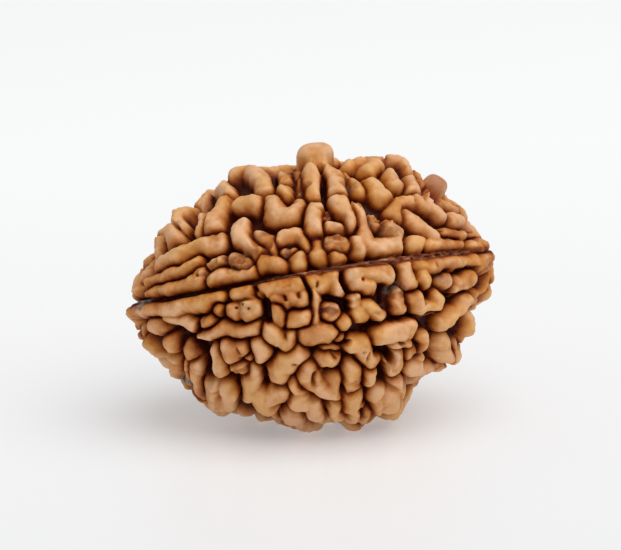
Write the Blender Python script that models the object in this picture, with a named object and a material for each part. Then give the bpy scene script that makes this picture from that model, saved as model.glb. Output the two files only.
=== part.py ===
# Two-faced rudraksha bead, one natural seed stone
# Lies on its side on a small flat spot, long axis close to +X, cleft faces along -Y
# All sizes below are millimetres and are turned into metres at the very end
import bpy
import bmesh
import math
import numpy as np
from mathutils import Matrix, Vector

for old in list(bpy.data.objects):
    bpy.data.objects.remove(old, do_unlink=True)

MM = 0.001               # metres in a millimetre

# Size of the smooth outline that touches the tops of the lumps
HALF_LENGTH = 12.27      # along the axis of the stone
HALF_DEPTH = 9.75        # across, along Y
HALF_HEIGHT = 9.13       # across, close to Z
AXIS_PITCH = 6.05        # degrees, the +X end is higher
TAPER_LINEAR = 0.055     # the +X end is fuller than the other
TAPER_SQUARE = -0.109    # both ends are a little pointed
BELLY_DROP = 0.90        # the middle hangs below the axis by this much
AXIS_HEIGHT = 9.62       # height of the axis centre over the ground

# Relief
RELIEF_DEPTH = 0.75      # crest of a lump down to the floor between lumps
CLEFT_ANGLE = 19.7       # degrees above the horizontal, seen along the axis
CLEFT_HALF_WIDTH = 0.22
CLEFT_FLAT = 0.6         # share of the half width where the cleft is deepest
CLEFT_SLOPE = 0.9        # width of its sloping edge over the half width
CLEFT_EXTRA_DEPTH = 0.20
LIP_WIDENING = 0.28      # lumps are wider by this share at the lips of the cleft
LIP_REACH = 0.6          # distance from the cleft where that has faded
CLEFT_LIFT = 0.33        # the cleft rises by this much towards the left mouth
LIFT_START = 0.88        # share of the half length where the rise begins
LIFT_SPAN = 0.09
BORE_DIAMETER = 1.3      # natural hole from mouth to mouth
MOUTH_INNER = 0.75       # no relief nearer to the middle of a mouth than this
MOUTH_RADIUS = 1.25      # full relief further away than this
MOUTH_DEPTH = 0.3
KNOB_RISE = 1.3          # top of the knob over the smooth outline
KNOB_RADIUS = 1.15
FLAT_SPOT_HEIGHT = 0.0   # everything below this height is cut away

# Levels and triangle budget
ICO_LEVEL = 7
TRIANGLES = 11200

# Viewpoint the lumps were traced from, pixels of the 621 x 550 photograph
PIXELS_X = 621
PIXELS_Y = 550
VIEW_TURN = -12.0        # degrees
VIEW_RISE = 14.0         # degrees
VIEW_DISTANCE = 350.0
VIEW_LENS = 302.0 / 36.0
VIEW_TARGET = (0.15, 0.0, 0.417)
PIXEL_SIZE = 0.0672      # millimetres covered by one pixel at the bead
SEARCH_SPAN = 16.0       # how far before and behind the middle a sight line is searched
SEARCH_STEPS = 1281
KNOB_PIXEL = (314, 161)
LEFT_MOUTH_PIXEL = (137, 301)

# Lumps traced by eye: every lump is a list of strokes, a stroke is
# half width, x, y, x, y and so on, all in photograph pixels
LUMPS = [
    [(7, 183, 212, 179, 225)], [(9, 171, 226, 172, 238), (5, 178, 232, 184, 238)],
    [(5, 160, 240, 158, 250)], [(7, 208, 199, 204, 207)], [(8, 221, 187, 228, 196)],
    [(6, 203, 216, 200, 228)], [(9, 224, 203, 216, 215, 213, 227), (8, 238, 204, 258, 204)],
    [(9, 236, 175, 252, 172, 262, 182, 264, 192)], [(8, 240, 222, 240, 238, 250, 245, 262, 252)],
    [(7, 262, 168, 272, 166, 285, 172, 287, 182)], [(5, 296, 168, 297, 178)],
    [(8, 284, 190, 284, 196)], [(10, 273, 204, 275, 215, 290, 215, 300, 204)],
    [(11, 310, 160, 318, 160), (8, 309, 168, 310, 180, 313, 196), (9, 325, 167, 337, 177, 338, 192)],
    [(4, 301, 180, 303, 193)], [(5, 345, 175, 352, 180)], [(8, 316, 208, 314, 220, 314, 233)],
    [(4, 326, 212, 326, 216)], [(6, 330, 228, 338, 227)], [(8, 338, 202, 346, 212, 352, 222)],
    [(8, 358, 208, 362, 220, 368, 243), (8, 357, 240, 360, 250), (9, 376, 246, 395, 245),
     (5, 398, 232, 400, 240), (8, 387, 226, 397, 230)],
    [(6, 281, 240, 287, 233, 296, 233, 304, 241, 308, 248)],
    [(7, 260, 234, 268, 240, 268, 250), (5, 265, 250, 263, 262), (7, 263, 264, 281, 263)],
    [(6, 374, 217, 376, 224)], [(6, 317, 243, 319, 258), (7, 316, 256, 322, 256)],
    [(8, 331, 243, 343, 242)], [(7, 337, 256, 339, 256)],
    [(7, 348, 166, 365, 163), (8, 375, 162, 379, 163)], [(7, 388, 164, 400, 166, 407, 176)],
    [(7, 391, 175, 395, 183)], [(11, 371, 182, 378, 190, 387, 197)], [(6, 353, 184, 358, 190)],
    [(9, 412, 182, 412, 190)], [(10, 434, 184, 438, 184)], [(4, 428, 188, 428, 192)],
    [(5, 422, 178, 424, 184)],
    [(7, 394, 212, 404, 202, 410, 201), (9, 420, 202, 432, 207, 440, 215)],
    [(6, 443, 201, 455, 209)], [(7, 450, 218, 468, 225)],
    [(6, 402, 210, 415, 218, 425, 228, 437, 238), (5, 432, 245, 460, 244, 487, 246),
     (8, 417, 243, 420, 242)],
    [(4, 445, 236, 482, 237)], [(5, 486, 264, 488, 268)], [(5, 146, 274, 138, 281, 136, 292)],
    [(4, 152, 257, 148, 268)], [(9, 160, 263, 172, 257, 185, 250, 200, 245, 217, 242)],
    [(5.5, 148, 282, 160, 277, 172, 273, 185, 267, 196, 263)],
    [(6, 146, 294, 165, 289, 185, 284, 197, 280), (5, 197, 280, 201, 271)],
    [(5, 211, 262, 217, 261)], [(6, 233, 260, 243, 262)],
    [(7, 211, 278, 225, 277, 240, 274, 250, 270)], [(4, 286, 251, 290, 250)],
    [(8, 298, 257, 298, 261)],
    [(5, 127, 314, 136, 312), (8, 142, 311, 155, 310, 170, 308, 190, 305),
     (7, 190, 304, 205, 301, 219, 298), (4, 175, 313, 190, 315, 205, 314),
     (4.5, 168, 321, 180, 325, 190, 327)],
    [(6, 217, 309, 219, 311)], [(5.5, 203, 323, 210, 321)], [(7, 151, 327, 161, 327)],
    [(5, 140, 329, 142, 338)],
    [(6, 233, 293, 250, 292), (12, 249, 307, 251, 309), (6, 232, 309, 233, 312)],
    [(6, 203, 337, 215, 334, 228, 330), (6.5, 228, 330, 243, 331, 253, 331)],
    [(8, 265, 290, 280, 286, 297, 285), (7, 288, 296, 293, 297), (5, 302, 296, 302, 303),
     (5, 276, 299, 285, 303)],
    [(5, 278, 307, 279, 320), (9, 272, 335, 275, 338), (7, 294, 334, 284, 345)],
    [(8, 291, 320, 304, 320)],
    [(8, 312, 281, 322, 284, 333, 278), (4.5, 313, 290, 317, 300, 316, 312, 315, 322),
     (6, 336, 284, 343, 292), (11, 310, 336, 327, 335)],
    [(8, 330, 311, 331, 313)], [(7, 342, 326, 344, 323)], [(4, 337, 339, 339, 337)],
    [(9, 355, 275, 372, 273, 386, 274), (7, 358, 285, 371, 287)], [(6, 356, 299, 357, 302)],
    [(7, 359, 315, 362, 314)], [(7, 370, 307, 380, 315)],
    [(6, 401, 293, 400, 308), (5, 399, 302, 404, 308)],
    [(7, 405, 268, 411, 281), (6, 419, 264, 430, 266, 445, 264, 462, 262, 480, 260),
     (7, 424, 276, 427, 280)],
    [(7, 444, 280, 447, 280)], [(7, 460, 283, 474, 280), (4, 456, 290, 468, 287)],
    [(7, 416, 298, 420, 307, 436, 306, 438, 297)], [(9, 466, 304, 455, 314, 444, 324)],
    [(4, 488, 276, 484, 288, 475, 296)], [(4, 474, 301, 477, 303)], [(8, 469, 318, 467, 330)],
    [(9, 379, 338, 395, 333, 410, 329), (5, 397, 344, 409, 342)],
    [(5.5, 424, 337, 423, 346, 418, 349)], [(5.5, 415, 349, 408, 356)], [(11, 442, 345, 446, 354)],
    [(4, 460, 343, 457, 356)], [(9, 411, 368, 430, 368), (4, 420, 358, 421, 360)],
    [(6, 411, 383, 416, 382)], [(5.5, 397, 357, 397, 368, 393, 373), (6, 385, 367, 390, 371)],
    [(9, 151, 345, 157, 353)], [(8.5, 170, 341, 172, 345)], [(6.5, 173, 360, 175, 373)],
    [(3.5, 176, 384, 186, 390)], [(8, 188, 350, 190, 357), (3.5, 187, 366, 185, 378)],
    [(5.5, 196, 365, 196, 378, 197, 390, 199, 396)],
    [(6, 212, 384, 212, 397, 217, 405), (8, 229, 388, 230, 400, 223, 407)],
    [(6, 216, 353, 217, 362, 220, 372)], [(10, 232, 350, 231, 355), (6, 241, 346, 240, 352)],
    [(5, 245, 357, 247, 357)], [(6, 236, 370, 243, 368)],
    [(7, 254, 370, 251, 385, 248, 400), (10, 258, 395, 265, 407), (8, 268, 400, 281, 392)],
    [(6, 244, 413, 248, 414)], [(8, 258, 349, 261, 356)],
    [(9, 299, 353, 288, 361, 280, 371, 279, 379)], [(6, 275, 416, 278, 416)],
    [(7, 296, 384, 297, 390), (10, 298, 398, 300, 402), (8, 311, 402, 315, 414),
     (8, 293, 416, 303, 423, 316, 424)],
    [(8, 307, 369, 311, 384, 325, 391, 332, 394), (5, 318, 376, 322, 386), (5, 333, 379, 336, 392)],
    [(8, 322, 362, 331, 360)], [(4, 326, 351, 336, 351)], [(8, 351, 367, 352, 378, 353, 387)],
    [(8, 369, 375, 370, 381)], [(9, 351, 397, 353, 404, 353, 418)], [(6, 366, 412, 365, 422)],
    [(7, 333, 405, 337, 415)], [(8, 353, 345, 363, 345, 366, 356), (7, 366, 352, 372, 361)],
    [(7, 374, 395, 377, 409), (11, 389, 397, 393, 405), (6, 398, 381, 402, 392)],
]

# Low swells and hollows of the outline: x and y in pixels where the edge of
# the smooth outline is seen, the rise and the half width in millimetres, and
# a sign where the swell is only above or only below the cleft
SWELLS = [
    (488, 258, 0.80, 1.3), (477, 225, -0.20, 1.2), (462, 205, -0.20, 1.6),
    (449, 192, -0.20, 1.0), (434, 182, 0.70, 0.9), (415, 172, -0.30, 0.7),
    (400, 166, 0.70, 1.1), (375, 159, 0.20, 1.0), (343, 155, -0.45, 0.9),
    (288, 160, -0.65, 0.9), (276, 162, -0.30, 0.7), (240, 174, 0.60, 1.0),
    (209, 190, -0.50, 0.9), (190, 203, -1.00, 0.55), (181, 209, 0.35, 0.6),
    (158, 231, 0.10, 0.8), (144, 249, -0.85, 1.3), (134, 269, -0.75, 1.1),
    (128, 294, -0.10, 1.0, 1), (129, 310, 0.50, 0.8, -1), (134, 327, -0.40, 0.6),
    (160, 365, -0.45, 0.5), (181, 384, 0.25, 0.7), (218, 407, 0.45, 1.1),
    (279, 427, -0.50, 0.7), (332, 429, -0.75, 0.6), (345, 427, -0.35, 0.6),
    (362, 422, 0.40, 1.1), (392, 410, 0.40, 1.1), (414, 396, -0.50, 0.9),
    (430, 384, -0.60, 1.1), (443, 371, -0.60, 0.7), (453, 360, 0.25, 0.6),
    (470, 333, 0.20, 0.8), (481, 307, -0.50, 0.9),
]
SWELL_STRETCH = 0.35     # swells reach further along the line of sight, one over this
AIM_ROUNDS = 4

# Shape of one lump
CREASE_SPAN = 0.60       # difference of reach over which a crease opens
CREASE_CUT = 0.45        # how much of the height a crease takes
LEAST_RISE = 0.90        # the lowest and the highest lump, over the mean
MOST_RISE = 1.08
RISE_SEED = 5

# Lumps of the unseen sides
FILL_SEED = 21
FILL_POINTS = 1000
FILL_WIDTH = 0.70
FILL_LIMIT = 0.42        # points that face the viewpoint more than this drop out
FILL_NUDGE = 0.018       # random shift of a point, over the size of the stone
CLEAR_SHARE = 0.75       # room kept to a traced lump, over the fill width
CLEFT_SHARE = 0.55       # room kept to the cleft, over the fill width
WORM_STEPS = (0, 1, 1, 2, 2, 3, 3)
WORM_REACH = 1.9         # the next point of a worm is nearer than this
WORM_TURN_COST = 1.6     # a sideways turn counts like this much distance
WORM_SWING = 2.0         # spread of the first heading
SHORT_WORM = 0.2         # length of a worm that has one point only
LEAST_WIDTH = 0.88
MOST_WIDTH = 1.12
FAR = 99.0               # stands for no reach at all


def unit(vector):
    """The same direction with length one."""
    return np.array(vector, float) / np.linalg.norm(vector)


# Axes of the stone: along the axis, across, and up at right angles to both
pitch = math.radians(AXIS_PITCH)
AXIS_A = np.array([math.cos(pitch), 0.0, math.sin(pitch)])
AXIS_B = np.array([0.0, 1.0, 0.0])
AXIS_C = np.array([-math.sin(pitch), 0.0, math.cos(pitch)])
AXES = np.stack([AXIS_A, AXIS_B, AXIS_C])
SIZES = np.array([HALF_LENGTH, HALF_DEPTH, HALF_HEIGHT])
ALONG = np.array([1.0, 0.0, 0.0])
CENTRE = np.array([0.0, 0.0, AXIS_HEIGHT])


def ease(value):
    """Zero to one with flat ends: 3 t squared minus 2 t cubed."""
    t = np.clip(value, 0.0, 1.0)
    return t * t * (3.0 - 2.0 * t)


def body_point(direction):
    """Smooth outline in the stone's own axes.

    The unit direction is stretched by the three half sizes, the two across
    sizes are tapered by one plus a linear and a square term of the position
    along the axis, and the middle is lowered by the belly drop.
    """
    s = direction[:, 0]
    taper = 1.0 + TAPER_LINEAR * s + TAPER_SQUARE * s * s
    x = HALF_LENGTH * s
    y = HALF_DEPTH * taper * direction[:, 1]
    z = HALF_HEIGHT * taper * direction[:, 2] - BELLY_DROP * (1.0 - s * s)
    return np.stack([x, y, z], axis=1)


def body_direction(point):
    """The inverse of body_point, its length is one on the outline."""
    s = np.clip(point[:, 0] / HALF_LENGTH, -1.0, 1.0)
    taper = 1.0 + TAPER_LINEAR * s + TAPER_SQUARE * s * s
    y = point[:, 1] / (HALF_DEPTH * taper)
    z = (point[:, 2] + BELLY_DROP * (1.0 - s * s)) / (HALF_HEIGHT * taper)
    return np.stack([point[:, 0] / HALF_LENGTH, y, z], axis=1)


def body_normal(direction):
    """Outward direction of the outline, direction over size, made unit."""
    normal = direction / SIZES
    return normal / np.linalg.norm(normal, axis=1)[:, None]


# The viewpoint
turn, rise = math.radians(VIEW_TURN), math.radians(VIEW_RISE)
VIEW_BACK = np.array([math.sin(turn) * math.cos(rise),
                      -math.cos(turn) * math.cos(rise), math.sin(rise)])
VIEW_RIGHT = np.array([math.cos(turn), math.sin(turn), 0.0])
VIEW_UP = np.cross(VIEW_BACK, VIEW_RIGHT)
EYE = np.array(VIEW_TARGET) + VIEW_BACK * VIEW_DISTANCE
SIGHT = AXES @ VIEW_BACK


def carry(x, y):
    """Carry one pixel along its line of sight onto the smooth outline.

    Where the line misses, the nearest point of the outline is taken.
    """
    lens = VIEW_LENS * PIXELS_X
    sight = (-VIEW_BACK + VIEW_RIGHT * ((x - PIXELS_X / 2) / lens)
             + VIEW_UP * ((PIXELS_Y / 2 - y) / lens))
    steps = np.linspace(VIEW_DISTANCE - SEARCH_SPAN, VIEW_DISTANCE + SEARCH_SPAN, SEARCH_STEPS)
    points = (EYE + steps[:, None] * unit(sight)) @ AXES.T
    reach = np.linalg.norm(body_direction(points), axis=1)
    inside = np.nonzero(reach < 1.0)[0]
    index = inside[0] if len(inside) else int(np.argmin(reach))
    direction = body_direction(points[index:index + 1])
    return body_point(direction / np.linalg.norm(direction))[0]


def cleft_side(points):
    """Distance from the plane of the two clefts, which lifts near the left mouth."""
    angle = math.radians(CLEFT_ANGLE)
    plain = points[:, 2] * math.cos(angle) + points[:, 1] * math.sin(angle)
    leftward = -points[:, 0] / HALF_LENGTH
    return plain - CLEFT_LIFT * ease((leftward - LIFT_START) / LIFT_SPAN)


def swell(points):
    """Rise of the outline: a sum of bell curves of the distance to each middle."""
    total = np.zeros(len(points))
    side = cleft_side(points)
    for middle, values in zip(SWELL_MIDDLES, SWELLS):
        step = points - middle
        away = step @ SIGHT
        across = (step * step).sum(axis=1) - away * away
        hill = values[2] * np.exp(-(across + (SWELL_STRETCH * away) ** 2) / values[3] ** 2)
        if len(values) == 5:
            hill = np.where(side * values[4] > 0.0, hill, 0.0)
        total += hill
    return total


def lay(x, y):
    """Carry a pixel onto the swollen outline, in a few rounds of aiming."""
    aim = np.array([x, y], float)
    for _ in range(AIM_ROUNDS):
        point = carry(aim[0], aim[1])[None]
        lift = body_normal(body_direction(point)) * swell(point)[:, None]
        lift = (lift @ AXES)[0] / PIXEL_SIZE
        aim = np.array([x - lift @ VIEW_RIGHT, y + lift @ VIEW_UP])
    return carry(aim[0], aim[1])


def stroke_reach(points, strokes):
    """Smallest distance to any stroke of a lump over its half width."""
    reach = np.full(len(points), FAR)
    for width, path in strokes:
        for a, b in zip(path[:-1], path[1:]):
            along = b - a
            t = (points - a) @ along / max(along @ along, 1e-9)
            foot = a + np.clip(t, 0.0, 1.0)[:, None] * along
            gap = np.linalg.norm(points - foot, axis=1)
            reach = np.minimum(reach, gap / width)
    return reach


def traced_lumps():
    """The lumps seen in the photograph, laid on the swollen outline."""
    lumps = []
    for strokes in LUMPS:
        lump = []
        for stroke in strokes:
            path = [lay(stroke[i], stroke[i + 1]) for i in range(1, len(stroke), 2)]
            lump.append((stroke[0] * PIXEL_SIZE, path))
        lumps.append(lump)
    return lumps


def spiral_points(rng):
    """Evenly spaced directions on a golden-angle spiral, nudged a little."""
    index = np.arange(FILL_POINTS)
    s = 1.0 - 2.0 * (index + 0.5) / FILL_POINTS
    spin = index * math.pi * (3.0 - math.sqrt(5.0))
    ring = np.sqrt(1.0 - s * s)
    direction = np.stack([s, ring * np.cos(spin), ring * np.sin(spin)], axis=1)
    direction += rng.normal(scale=FILL_NUDGE, size=direction.shape)
    return direction / np.linalg.norm(direction, axis=1)[:, None]


def filled_lumps(traced):
    """Lumps of the sides that the photograph doesn't show, by a seeded rule.

    A spiral of evenly spaced points covers the outline. Points the viewpoint
    sees, points on a traced lump, in the cleft or in a mouth drop out. The
    others are linked into worms of one to four, mostly round the axis.
    """
    rng = np.random.default_rng(FILL_SEED)
    direction = spiral_points(rng)
    points = body_point(direction)
    near = np.full(len(points), FAR)
    for lump in traced:
        grown = [(width + FILL_WIDTH * CLEAR_SHARE, path) for width, path in lump]
        near = np.minimum(near, stroke_reach(points, grown))
    keep = (near > 1.0) & (body_normal(direction) @ SIGHT < FILL_LIMIT)
    keep &= np.abs(cleft_side(points)) > CLEFT_HALF_WIDTH + FILL_WIDTH * CLEFT_SHARE
    keep &= mouth_gap(points) > MOUTH_RADIUS
    points = points[keep]
    side = np.sign(cleft_side(points))
    free = np.ones(len(points), bool)
    lumps = []
    for start in rng.permutation(len(points)):
        if not free[start]:
            continue
        free[start] = False
        here = points[start]
        chain = [here]
        radial = here * np.array([0.0, 1.0, 1.0])
        heading = unit(np.cross(ALONG, radial) + rng.normal(size=3) * WORM_SWING)
        for _ in range(int(rng.choice(WORM_STEPS))):
            step = points - here
            gap = np.linalg.norm(step, axis=1)
            turning = 1.0 - np.abs(step @ heading) / np.maximum(gap, 1e-6)
            allowed = free & (gap < WORM_REACH) & (side == side[start])
            cost = np.where(allowed, gap + WORM_TURN_COST * turning, FAR)
            best = int(np.argmin(cost))
            if cost[best] == FAR:
                break
            heading = unit(points[best] - here)
            free[best] = False
            here = points[best]
            chain.append(here)
        if len(chain) == 1:
            chain.append(here + unit(np.cross(here, heading)) * SHORT_WORM)
        width = FILL_WIDTH * rng.uniform(LEAST_WIDTH, MOST_WIDTH)
        lumps.append([(width, chain)])
    return lumps


def mouth_gap(points):
    """Distance to the nearer of the two mouths."""
    left = np.linalg.norm(points - LEFT_MOUTH, axis=1)
    return np.minimum(left, np.linalg.norm(points - RIGHT_MOUTH, axis=1))


def relief(direction):
    """Surface point for each unit direction from the middle of the stone.

    A lump is a cap: one minus the square of the reach, with reach the
    distance to its strokes over their half width. Where two lumps reach a
    point alike a crease is cut. The cleft and the mouths press the relief
    down, the knob is a ball on a stalk, and the swells move the outline.
    """
    crown = body_point(direction)
    side = cleft_side(crown)
    first = np.full(len(crown), FAR)
    second = np.full(len(crown), FAR)
    owner = np.full(len(crown), -1)
    lip = 1.0 + LIP_WIDENING * np.exp(-(side / LIP_REACH) ** 2)
    for number, lump in enumerate(ALL_LUMPS):
        reach = stroke_reach(crown, lump) / lip
        better = reach < first
        second = np.where(better, first, np.minimum(second, reach))
        owner = np.where(better, number, owner)
        first = np.where(better, reach, first)
    cap = 1.0 - np.clip(first, 0.0, 1.0) ** 2
    between = np.clip((second - first) / CREASE_SPAN, 0.0, 1.0)
    cap *= 1.0 - CREASE_CUT * (1.0 - between) ** 2
    rng = np.random.default_rng(RISE_SEED)
    rises = rng.uniform(LEAST_RISE, MOST_RISE, len(ALL_LUMPS))
    height = RELIEF_DEPTH * cap * rises[owner]
    edge = np.abs(side) - CLEFT_FLAT * CLEFT_HALF_WIDTH
    edge = ease(edge / (CLEFT_SLOPE * CLEFT_HALF_WIDTH))
    height = height * edge - CLEFT_EXTRA_DEPTH * (1.0 - edge)
    mouth = ease((mouth_gap(crown) - MOUTH_INNER) / (MOUTH_RADIUS - MOUTH_INNER))
    height = height * mouth - MOUTH_DEPTH * (1.0 - mouth)
    knob_gap = np.linalg.norm(crown - carry(KNOB_PIXEL[0], KNOB_PIXEL[1]), axis=1)
    ball = np.sqrt(np.clip(KNOB_RADIUS ** 2 - knob_gap ** 2, 0.0, None))
    knob = RELIEF_DEPTH + KNOB_RISE - KNOB_RADIUS + ball
    height = np.where(ball > 0.0, np.maximum(height, knob), height)
    height += swell(crown) - RELIEF_DEPTH
    local = crown + body_normal(direction) * height[:, None]
    return local @ AXES + CENTRE


SWELL_MIDDLES = [carry(values[0], values[1]) for values in SWELLS]
LEFT_MOUTH = carry(LEFT_MOUTH_PIXEL[0], LEFT_MOUTH_PIXEL[1])
RIGHT_MOUTH = ALONG * HALF_LENGTH
TRACED = traced_lumps()
ALL_LUMPS = TRACED + filled_lumps(TRACED)

collection = bpy.data.collections.new("rudraksha bead")
bpy.context.scene.collection.children.link(collection)
cutters = bpy.data.collections.new("cutters")
bpy.context.scene.collection.children.link(cutters)


def add_object(name, mesh, home):
    """A new object with its mesh, linked to one collection."""
    thing = bpy.data.objects.new(name, mesh)
    home.objects.link(thing)
    return thing


def add_cutter(name, mesh):
    """A helper for a Boolean, shown as wire and never rendered."""
    thing = add_object(name, mesh, cutters)
    thing.hide_render = True
    thing.display_type = "WIRE"
    return thing


# The stone: a fine ball of triangles, every point moved by the relief
ball = bmesh.new()
bmesh.ops.create_icosphere(ball, subdivisions=ICO_LEVEL, radius=1.0)
stone_mesh = bpy.data.meshes.new("bead")
ball.to_mesh(stone_mesh)
ball.free()
flat = np.empty(len(stone_mesh.vertices) * 3)
stone_mesh.vertices.foreach_get("co", flat)
ways = flat.reshape(-1, 3)
ways /= np.linalg.norm(ways, axis=1)[:, None]
surface = relief(ways) * MM
stone_mesh.vertices.foreach_set("co", surface.ravel())
stone_mesh.update()
bead = add_object("bead", stone_mesh, collection)

thin = bead.modifiers.new("fewer triangles", "DECIMATE")
thin.decimate_type = "COLLAPSE"
thin.ratio = TRIANGLES / len(stone_mesh.polygons)
thin.use_collapse_triangulate = True

# Cutter under the ground gives the flat spot the stone rests on
SLAB_SIDE = 40.0
SLAB_THICKNESS = 8.0
slab = bmesh.new()
bmesh.ops.create_cube(slab, size=1.0)
slab_mesh = bpy.data.meshes.new("ground cutter")
slab.to_mesh(slab_mesh)
slab.free()
slab_middle = Vector((0.0, 0.0, FLAT_SPOT_HEIGHT - SLAB_THICKNESS / 2)) * MM
slab_size = Vector((SLAB_SIDE, SLAB_SIDE, SLAB_THICKNESS)) * MM
slab_mesh.transform(Matrix.Translation(slab_middle) @ Matrix.Diagonal((*slab_size, 1.0)))
ground = add_cutter("ground cutter", slab_mesh)

# Cutter from mouth to mouth gives the natural hole
ROD_LENGTH = 40.0
ROD_SIDES = 20
rod = bmesh.new()
bmesh.ops.create_cone(rod, cap_ends=True, segments=ROD_SIDES, radius1=BORE_DIAMETER / 2 * MM,
                      radius2=BORE_DIAMETER / 2 * MM, depth=ROD_LENGTH * MM)
rod_mesh = bpy.data.meshes.new("bore cutter")
rod.to_mesh(rod_mesh)
rod.free()
bore_way = Vector((RIGHT_MOUTH - LEFT_MOUTH) @ AXES)
bore_middle = Vector((RIGHT_MOUTH + LEFT_MOUTH) / 2 @ AXES + CENTRE) * MM
lean = Vector((0.0, 0.0, 1.0)).rotation_difference(bore_way).to_matrix().to_4x4()
rod_mesh.transform(Matrix.Translation(bore_middle) @ lean)
bore = add_cutter("bore cutter", rod_mesh)

for name, cutter in (("flat spot", ground), ("natural hole", bore)):
    cut = bead.modifiers.new(name, "BOOLEAN")
    cut.operation = "DIFFERENCE"
    cut.solver = "EXACT"
    cut.object = cutter

finish = bpy.data.materials.new("dry seed stone")
finish.use_nodes = True
shader = finish.node_tree.nodes["Principled BSDF"]
shader.inputs["Base Color"].default_value = (0.50, 0.27, 0.12, 1.0)
shader.inputs["Roughness"].default_value = 0.55
stone_mesh.materials.append(finish)
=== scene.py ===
# %% [markdown]
# # A rudraksha bead
# The bead is the dry stone of a forest fruit. It grows as one piece: a long oval with a
# cleft on two opposite sides, deep worm-like lobes all over, and a natural hole from end to
# end. Here it lies on its side on a white table. Everything is placed in the same frame as
# the solid model: metres, +Z up, the table at zero. The stone is one surface worked out with
# numpy, and the cells below add its features one after the other. Its lengths are in
# millimetres, unless a comment says otherwise.

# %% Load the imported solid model
import math

import bpy
import numpy as np
from mathutils import Matrix


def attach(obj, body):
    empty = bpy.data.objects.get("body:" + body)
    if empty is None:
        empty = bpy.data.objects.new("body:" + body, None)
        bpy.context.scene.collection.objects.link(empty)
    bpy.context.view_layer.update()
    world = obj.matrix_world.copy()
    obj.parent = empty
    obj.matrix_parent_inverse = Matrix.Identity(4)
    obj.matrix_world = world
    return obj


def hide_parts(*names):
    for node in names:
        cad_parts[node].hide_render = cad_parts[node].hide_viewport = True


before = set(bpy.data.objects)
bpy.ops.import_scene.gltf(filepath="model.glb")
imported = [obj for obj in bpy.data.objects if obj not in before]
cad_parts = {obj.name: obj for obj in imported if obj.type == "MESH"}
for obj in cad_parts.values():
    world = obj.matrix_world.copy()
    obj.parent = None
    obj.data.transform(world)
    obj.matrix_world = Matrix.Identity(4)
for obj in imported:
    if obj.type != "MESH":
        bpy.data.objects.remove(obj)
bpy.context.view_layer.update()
scene = bpy.context.scene

# %% [markdown]
# ## The camera
# A small thing photographed with a long lens shows almost no perspective. A camera could be
# moved by hand until the picture fits. Here it is set by numbers, because the same numbers
# later carry pixels traced in the photograph onto the stone. It stands 350 mm away, 14
# degrees above the table and turned 12 degrees towards the pointed end.

# %% Camera
MM = 0.001
PIXELS_X, PIXELS_Y = 621, 550
PIXEL_SIZE = 0.0672
VIEW_TURN, VIEW_RISE = math.radians(-12.0), math.radians(14.0)
VIEW_DISTANCE = 350.0
VIEW_TARGET = (0.15, 0.0, 0.417)
LENS, SENSOR = 302.0, 36.0
NEAR_CLIP, FAR_CLIP = 0.01, 20.0
AXIS_HEIGHT = 9.62

back = np.array([math.sin(VIEW_TURN) * math.cos(VIEW_RISE),
                 -math.cos(VIEW_TURN) * math.cos(VIEW_RISE), math.sin(VIEW_RISE)])
right = np.array([math.cos(VIEW_TURN), math.sin(VIEW_TURN), 0.0])
up = np.cross(back, right)
eye = np.array(VIEW_TARGET) + back * VIEW_DISTANCE


def add_camera():
    """A camera whose axes are right, up and back, looking at the target."""
    data = bpy.data.cameras.new("camera")
    data.lens, data.sensor_width = LENS, SENSOR
    data.clip_start, data.clip_end = NEAR_CLIP, FAR_CLIP
    thing = bpy.data.objects.new("camera", data)
    scene.collection.objects.link(thing)
    place = np.eye(4)
    place[:3, 0], place[:3, 1], place[:3, 2] = right, up, back
    place[:3, 3] = (eye + np.array([0.0, 0.0, AXIS_HEIGHT])) * MM
    thing.matrix_world = Matrix(place.tolist())
    scene.camera = thing
    return thing


print("camera at", [round(value, 4) for value in add_camera().location])

# %% [markdown]
# ## The smooth outline
# All lobes of the real stone end near one smooth oval. It could be a sphere that is scaled
# and sculpted. A formula is used instead, called the crown here, because it gives three
# things at once: a point for any direction, the way back from a point to its direction, and
# the outward normal along which the lobes are raised. Its size across is tapered towards
# both ends, fuller at +X, and its belly hangs a little below the axis of the hole.

# %% The crown and its formulas
HALF_SIZE = np.array([12.27, 9.75, 9.13])
TAPER_LINEAR, TAPER_SQUARE = 0.055, -0.109
BELLY_DROP = 0.90
AXIS_PITCH = math.radians(6.05)
AXES = np.array([[math.cos(AXIS_PITCH), 0.0, math.sin(AXIS_PITCH)], [0.0, 1.0, 0.0],
                 [-math.sin(AXIS_PITCH), 0.0, math.cos(AXIS_PITCH)]])


def unit(vector):
    """The same direction with length one."""
    return np.array(vector, float) / np.linalg.norm(vector)


def taper(s):
    """One plus a linear and a square term of the place along the axis."""
    return 1.0 + TAPER_LINEAR * s + TAPER_SQUARE * s * s


def crown_point(direction):
    """Each direction times the half sizes, tapered across, the middle lowered."""
    s = direction[:, 0]
    point = direction * HALF_SIZE
    point[:, 1:] *= taper(s)[:, None]
    point[:, 2] -= BELLY_DROP * (1.0 - s * s)
    return point


def crown_direction(point):
    """The inverse of crown_point. Its length is one on the crown."""
    s = np.clip(point[:, 0] / HALF_SIZE[0], -1.0, 1.0)
    back_to = point.copy()
    back_to[:, 2] += BELLY_DROP * (1.0 - s * s)
    back_to[:, 1:] /= taper(s)[:, None]
    return back_to / HALF_SIZE


def crown_normal(direction):
    """Outward normal of an oval: direction over size, made unit."""
    normal = direction / HALF_SIZE
    return normal / np.linalg.norm(normal, axis=1)[:, None]


print("crown of", 2 * HALF_SIZE, "mm")

# %% [markdown]
# ## From a pixel to the stone
# What is seen in the photograph has to sit at the same place on the stone. A picture could
# be projected from the camera, but it would smear on the sides. So only chosen pixels are
# carried, each along its line of sight to where that first meets the crown.

# %% Carry a pixel onto the crown
SIGHT_REACH, SIGHT_STEPS = 16.0, 1281


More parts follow.
